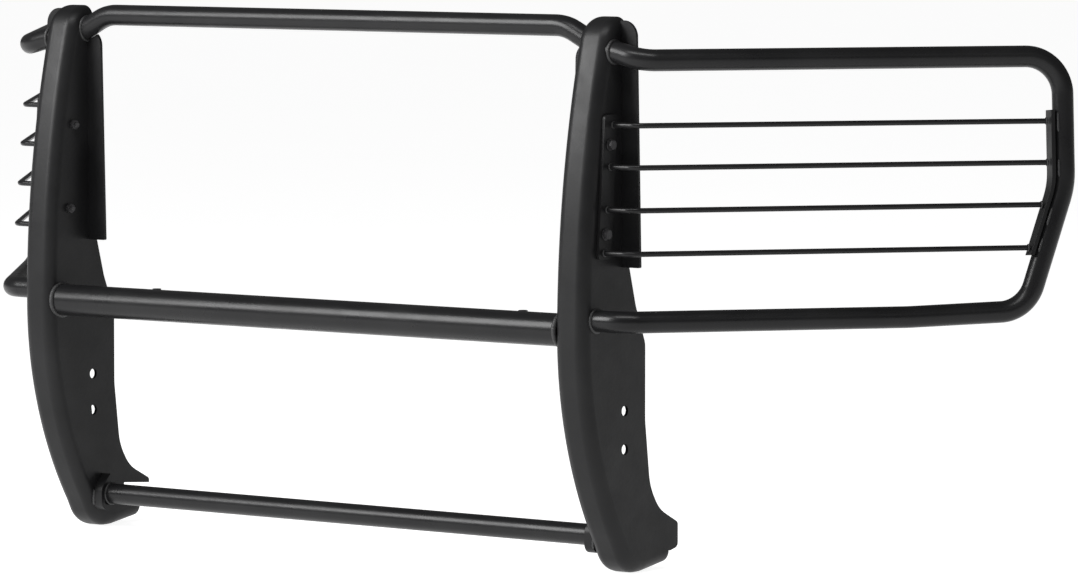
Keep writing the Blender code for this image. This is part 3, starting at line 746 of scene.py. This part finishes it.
def build_tab():
    """A flat tab welded behind the middle cross tube."""
    reach = sqrt(PIPE_R ** 2 - (TAB_TOP_Z - MID_TUBE_Z) ** 2)
    front = MID_TUBE_Y + reach - 0.004
    corners = [
        ((front, TAB_X - TAB_WIDTH / 2), 0), ((TAB_REAR_Y, TAB_X - TAB_WIDTH / 2), 0.008),
        ((TAB_REAR_Y, TAB_X + TAB_WIDTH / 2), 0.008), ((front, TAB_X + TAB_WIDTH / 2), 0),
    ]
    outline = [tuple(p) for p in rounded(corners, closed=True)]
    low = TAB_TOP_Z - TAB_THICK
    tab = extrude_outline("tab", outline, low, TAB_TOP_Z)
    tab.data.transform(Matrix(((0, 0, 1, 0), (0, 1, 0, 0), (1, 0, 0, 0), (0, 0, 0, 1))))
    bm = bmesh.new()
    bm.from_mesh(tab.data)
    bmesh.ops.recalc_face_normals(bm, faces=bm.faces)
    bm.to_mesh(tab.data)
    bm.free()
    hole = cylinder(
        "cut_tab", (TAB_X, TAB_BOLT_Y, low - 0.003), (TAB_X, TAB_BOLT_Y, TAB_TOP_Z + 0.003),
        BOLT_R + GAP, 32,
    )
    boolean(tab, hole, "DIFFERENCE")
    return soften(tab)


# ---------------------------------------------------------------- fasteners
def lathe(profile, sides):
    """A closed solid turned round Z from (radius, height) pairs, first and last on the axis."""
    bm = bmesh.new()
    rings = []
    for radius, height in profile:
        if radius == 0:
            rings.append([bm.verts.new((0, 0, height))])
            continue
        rings.append([
            bm.verts.new((radius * cos(2 * pi * i / sides), radius * sin(2 * pi * i / sides), height))
            for i in range(sides)
        ])
    for low, high in zip(rings, rings[1:]):
        for i in range(sides):
            j = (i + 1) % sides
            loop = [low[i % len(low)], low[j % len(low)], high[j % len(high)], high[i % len(high)]]
            bm.faces.new(list(dict.fromkeys(loop)))
    bmesh.ops.recalc_face_normals(bm, faces=bm.faces)
    return bm


def lathed(name, profile, sides=48):
    mesh = bpy.data.meshes.new(name)
    bm = lathe(profile, sides)
    bm.to_mesh(mesh)
    bm.free()
    return new_object(name, mesh)


def hexagon(name, across_flats, height):
    """A hexagon prism along Z with its corners chamfered at the top."""
    corner_r = across_flats / 2 / cos(pi / 6)
    prism = cylinder(name, (0, 0, 0), (0, 0, height), corner_r, 6)
    flat_r = across_flats / 2 * 0.97
    slope = (corner_r - flat_r) * 0.58
    cone = lathed("cone", [
        (0, -0.001), (corner_r * 1.05, -0.001), (corner_r * 1.05, height - slope * 1.45),
        (flat_r, height), (0, height),
    ])
    boolean(prism, cone, "INTERSECT")
    return prism


def thread_profile(length, start):
    """A threaded shank's (radius, height) pairs, downwards from start to -length."""
    root_r = BOLT_R - 0.61 * BOLT_PITCH
    points = []
    z = start
    while z - BOLT_PITCH > -length + 0.0006:
        points += [(BOLT_R * 0.995, z - BOLT_PITCH * 0.1), (root_r, z - BOLT_PITCH * 0.5)]
        points.append((BOLT_R * 0.995, z - BOLT_PITCH * 0.9))
        z -= BOLT_PITCH
    return points


def build_bolt(name, length, threaded):
    """A hexagon bolt whose head's seat is at z = 0, its shank going down."""
    bolt = hexagon(name, BOLT_HEAD_AF, BOLT_HEAD_H)
    profile = [(0, BOLT_HEAD_H * 0.5), (BOLT_R, BOLT_HEAD_H * 0.5), (BOLT_R, -length + threaded)]
    profile += thread_profile(length, -length + threaded)
    profile += [(BOLT_R - 0.0010, -length), (0, -length)]
    boolean(bolt, lathed("shank", profile, 32), "UNION")
    return bolt


def build_nut(name):
    nut = hexagon(name, BOLT_HEAD_AF, NUT_H)
    boolean(nut, cylinder("bore", (0, 0, -0.002), (0, 0, NUT_H + 0.002), BOLT_R + GAP, 32), "DIFFERENCE")
    return nut


def build_washer(name):
    bore = BOLT_R + GAP
    edge = 0.0003
    bm = lathe([
        (bore, edge), (bore + edge, 0), (WASHER_R - edge, 0), (WASHER_R, edge),
        (WASHER_R, WASHER_H - edge), (WASHER_R - edge, WASHER_H), (bore + edge, WASHER_H),
        (bore, WASHER_H - edge), (bore, edge),
    ], 48)
    bmesh.ops.remove_doubles(bm, verts=bm.verts, dist=0.00001)
    bmesh.ops.recalc_face_normals(bm, faces=bm.faces)
    mesh = bpy.data.meshes.new(name)
    bm.to_mesh(mesh)
    bm.free()
    return new_object(name, mesh)


def aim(direction, place, spin=0.0):
    """A matrix that turns local Z to a direction and moves the origin to a place."""
    turn = Vector(direction).to_track_quat("Z", "Y").to_matrix().to_4x4()
    return Matrix.Translation(Vector(place)) @ turn @ Matrix.Rotation(spin, 4, "Z")


def build_fasteners(zinc):
    face = UPRIGHT_OUTER_X + BAR_THICK + 2 * GAP
    inner = UPRIGHT_INNER_X - GAP
    seat = face + WASHER_H + GAP
    length = seat - inner + NUT_H + 0.004
    for i, (y, z) in enumerate(WING_BOLTS, start=1):
        pieces = (
            (build_washer("washer"), aim((1, 0, 0), (face, y, z)), "wing_washer_"),
            (build_bolt("bolt", length, 0.022), aim((1, 0, 0), (seat, y, z), 0.3 * i), "wing_bolt_"),
            (build_nut("nut"), aim((-1, 0, 0), (inner, y, z), 0.9 * i), "wing_nut_"),
        )
        for piece, matrix, node in pieces:
            piece.data.transform(matrix)
            both_sides(piece, f"{node}{i}_fine", zinc, "black_zinc_fastener", [f"{node}{i}"], 30)
    bolt = build_bolt("tab_bolt", 0.020, 0.014)
    bolt.data.transform(aim((0, 0, 1), (TAB_X, TAB_BOLT_Y, TAB_TOP_Z + GAP), 0.4))
    both_sides(bolt, "light_tab_bolt_fine", zinc, "black_zinc_fastener", ["light_tab_bolt"], 30)


# ---------------------------------------------------------------- welds
def tube_ring(start, end, radius, plane_x, steps=64):
    """Where a tube's surface meets the plane x = plane_x, as a closed line of points."""
    start = Vector(start)
    axis = (Vector(end) - start).normalized()
    side = axis.cross(Vector((0, 0, 1))).normalized()
    up = side.cross(axis)
    points = []
    for i in range(steps):
        a = 2 * pi * i / steps
        point = start + (side * cos(a) + up * sin(a)) * radius
        points.append(point + axis * ((plane_x - point.x) / axis.x))
    return points


def bead(points, radius, closed=True, pitch=0.0022):
    """A weld bead: a rope of overlapping ripples along a line of points."""
    bm = bmesh.new()
    fine = []
    count = len(points)
    spans = count if closed else count - 1
    for i in range(spans):
        a = points[i]
        b = points[(i + 1) % count]
        parts = max(1, ceil((b - a).length / (pitch / 4)))
        fine += [a.lerp(b, k / parts) for k in range(parts)]
    if not closed:
        fine.append(points[-1])
    run = 0.0
    rings = []
    total = len(fine)
    for i, point in enumerate(fine):
        before = fine[i - 1] if closed or i > 0 else point
        after = fine[(i + 1) % total] if closed or i < total - 1 else point
        along = (after - before).normalized()
        side = along.orthogonal().normalized()
        up = along.cross(side)
        if rings:
            run += (point - fine[i - 1]).length
        phase = run / pitch % 1.0
        size = radius * (0.86 + 0.20 * sqrt(max(0.0, 1 - phase ** 2)))
        size *= 1 + 0.05 * sin(run * 180) + 0.04 * sin(run * 73 + 1.0)
        if not closed:
            ends = min(i, total - 1 - i) / 6
            size *= min(1.0, 0.35 + 0.65 * ends)
        ring = []
        for k in range(BEAD_SIDES):
            a = 2 * pi * k / BEAD_SIDES
            ring.append(bm.verts.new(point + (side * cos(a) + up * sin(a)) * size))
        rings.append(ring)
    pairs = list(zip(rings, rings[1:]))
    if closed:
        pairs.append((rings[-1], rings[0]))
    for first, second in pairs:
        turn = min(
            range(BEAD_SIDES), key=lambda s: (first[0].co - second[s].co).length,
        )
        for k in range(BEAD_SIDES):
            n = (k + 1) % BEAD_SIDES
            bm.faces.new((
                first[k], first[n], second[(n + turn) % BEAD_SIDES], second[(k + turn) % BEAD_SIDES],
            ))
    if not closed:
        bm.faces.new(rings[0])
        bm.faces.new(rings[-1])
    bmesh.ops.recalc_face_normals(bm, faces=bm.faces)
    mesh = bpy.data.meshes.new("bead")
    bm.to_mesh(mesh)
    bm.free()
    return mesh


def joined(name, meshes):
    """One object from several meshes."""
    bm = bmesh.new()
    for mesh in meshes:
        bm.from_mesh(mesh)
    whole = bpy.data.meshes.new(name)
    bm.to_mesh(whole)
    bm.free()
    return new_object(name, whole)


def build_welds():
    """Every weld bead on the right-hand side."""
    hoop = hoop_path(WING_PLATE_END)
    top = rounded(top_tube_path(TOP_TUBE_END_X))
    outer = UPRIGHT_OUTER_X
    inner = UPRIGHT_INNER_X
    mid_at = Vector((0.4, MID_TUBE_Y, MID_TUBE_Z))
    low_at = Vector((0.4, LOW_TUBE_Y, LOW_TUBE_Z))
    right = Vector((1, 0, 0))
    meshes = [
        bead(tube_ring(hoop[0], hoop[1], TUBE_R, outer), 0.0026),
        bead(tube_ring(hoop[-1], hoop[-2], TUBE_R, outer), 0.0026),
        bead(tube_ring(top[-1], top[-2], TUBE_R, inner), 0.0026),
        bead(tube_ring(mid_at, mid_at + right, PIPE_R, inner), 0.0036),
        bead(tube_ring(low_at, low_at + right, TUBE_R, inner - SADDLE_WIDTH), 0.0020),
    ]
    # Round each rod's end, on the inner bar and on the end bar.
    for z in ROD_ZS:
        line = rod_path(z)
        meshes.append(bead(tube_ring(line[0], line[1], ROD_R, line[0].x + 0.0006), 0.0014, pitch=0.0014))
        tip = Vector(line[-1])
        axis = (tip - Vector(line[-2])).normalized()
        side = axis.cross(Vector((0, 0, 1))).normalized()
        up = side.cross(axis)
        ring = [
            tip - axis * 0.0004 + (side * cos(2 * pi * i / 40) + up * sin(2 * pi * i / 40)) * ROD_R
            for i in range(40)
        ]
        meshes.append(bead(ring, 0.0014, pitch=0.0014))
    # Stitches that hold the end bar to the hoop's outer tube, on its front and rear edges.
    place = wing_matrix()
    for side_x in (-1, 1):
        for z0, z1 in ((0.640, 0.668), (0.575, 0.600), (0.505, 0.530), (0.466, 0.486)):
            line = []
            for k in range(9):
                z = z0 + (z1 - z0) * k / 8
                along = outer_tube_along(z) - TUBE_R * 0.72
                line.append(place @ Vector((side_x * TUBE_R * 0.70, along, z)))
            meshes.append(bead(line, 0.0020, closed=False))
    # The saddle's front edge against the side plate.
    front = LOW_TUBE_Y - TUBE_R - SADDLE_WALL
    edge = [
        Vector((inner, front, z)) for z in (0.038, 0.044, 0.050, 0.056, 0.062)
    ]
    meshes.append(bead(edge, 0.0024, closed=False))
    # The lamp tab on the middle tube, above and below.
    for z in (TAB_TOP_Z, TAB_TOP_Z - TAB_THICK):
        back = MID_TUBE_Y + sqrt(PIPE_R ** 2 - (z - MID_TUBE_Z) ** 2)
        line = [Vector((TAB_X - 0.009 + 0.018 * k / 6, back + 0.0006, z)) for k in range(7)]
        meshes.append(bead(line, 0.0018, closed=False))
    return joined("welds", meshes)


# ---------------------------------------------------------------- the guard
def build_guard():
    coat = powder_coat(
        "powder_coat_black", (0.0065, 0.0065, 0.0069), (0.0110, 0.0110, 0.0115), 0.36, 0.48, 1.0,
    )
    tube_coat = powder_coat(
        "powder_coat_tubes", (0.0080, 0.0080, 0.0085), (0.0125, 0.0125, 0.0130), 0.26, 0.34, 0.7,
    )
    zinc = zinc_plate("black_zinc")
    weld = weld_finish("coated_weld")

    slot = "black_powder_coat"
    both_sides(build_upright(), "upright_formed", coat, slot, ["upright"])
    build_cross_tubes(tube_coat)
    hoop = swept("hoop", hoop_path(WING_PLATE_END), TUBE_R, TUBE_SIDES_RES, TUBE_WALL)
    both_sides(hoop, "wing_hoop_smooth", tube_coat, slot, ["wing_hoop"])
    for i, z in enumerate(ROD_ZS, start=1):
        rod = swept("rod", rod_path(z), ROD_R, ROD_SIDES_RES)
        both_sides(rod, f"wing_rod_{i}_smooth", tube_coat, slot, [f"wing_rod_{i}"])
    both_sides(build_saddle(), "saddle_rounded", coat, slot, ["lower_tube_saddle"])
    both_sides(build_inner_bar(), "wing_inner_bar_rounded", coat, slot, ["wing_inner_bar"])
    both_sides(build_end_bar(), "wing_end_bar_rounded", coat, slot, ["wing_end_bar"])
    both_sides(build_tab(), "light_tab_rounded", coat, slot, ["light_tab"])
    build_fasteners(zinc)
    both_sides(build_welds(), "weld_beads", weld, slot, [], 60)


# ---------------------------------------------------------------- studio
def build_floor():
    """A wide pale floor just under the soles."""
    made = Nodes("pale_floor")
    cloud = made.noise(0.35, 3.0)
    made.feed("Base Color", made.tint(made.spread(cloud, 0.0, 1.0), (0.50, 0.50, 0.505), (0.54, 0.54, 0.54)))
    made.shader.inputs["Roughness"].default_value = 0.75
    made.shader.inputs["Specular IOR Level"].default_value = 0.2
    made.shader.inputs["Emission Color"].default_value = (1, 1, 1, 1)
    made.shader.inputs["Emission Strength"].default_value = FLOOR_GLOW
    bm = bmesh.new()
    bmesh.ops.create_circle(bm, cap_ends=True, segments=96, radius=90.0)
    mesh = bpy.data.meshes.new("studio_floor")
    bm.to_mesh(mesh)
    bm.free()
    mesh.materials.append(made.material)
    floor = new_object("studio_floor", mesh)
    floor.location.z = CAD_BOX[0][2] - 0.0005


def softbox(name, azimuth, elevation, distance, width, height, watts):
    """A rectangular area light that faces the guard. Azimuth 0 is in front, 90 to the right."""
    data = bpy.data.lights.new(name, "AREA")
    data.shape = "RECTANGLE"
    data.size = width
    data.size_y = height
    data.energy = watts
    light = new_object(name, data)
    a = radians(azimuth)
    e = radians(elevation)
    outward = Vector((sin(a) * cos(e), -cos(a) * cos(e), sin(e)))
    light.location = AIM + outward * distance
    light.rotation_euler = outward.to_track_quat("Z", "Y").to_euler()


AIM = Vector((0.452, -0.089, 0.2077))
VIEW_AZIMUTH = radians(37.5)
VIEW_ELEVATION = radians(4.17)
VIEW_DISTANCE = 8.82
SENSOR = 36.0
LENS = 205.0
FLOOR_GLOW = 0.91


def build_studio():
    build_floor()
    softbox("key_left", -40, 27, 5.0, 2.4, 2.4, 290)
    softbox("top", 20, 62, 4.5, 4.0, 0.9, 120)
    softbox("fill_right", 75, 30, 6.0, 2.0, 2.0, 6)
    world = bpy.data.worlds.new("studio")
    world.use_nodes = True
    nodes = world.node_tree.nodes
    nodes["Background"].inputs["Color"].default_value = (1.0, 1.0, 1.0, 1)
    nodes["Background"].inputs["Strength"].default_value = 0.10
    bpy.context.scene.world = world
    bpy.context.scene.view_settings.view_transform = "Standard"


def build_camera():
    data = bpy.data.cameras.new("camera")
    data.sensor_width = SENSOR
    data.lens = LENS
    data.clip_end = 300
    camera = new_object("camera", data)
    outward = Vector((
        sin(VIEW_AZIMUTH) * cos(VIEW_ELEVATION),
        -cos(VIEW_AZIMUTH) * cos(VIEW_ELEVATION),
        sin(VIEW_ELEVATION),
    ))
    camera.location = AIM + outward * VIEW_DISTANCE
    camera.rotation_euler = outward.to_track_quat("Z", "Y").to_euler()
    bpy.context.scene.camera = camera


build_guard()
build_studio()
build_camera()
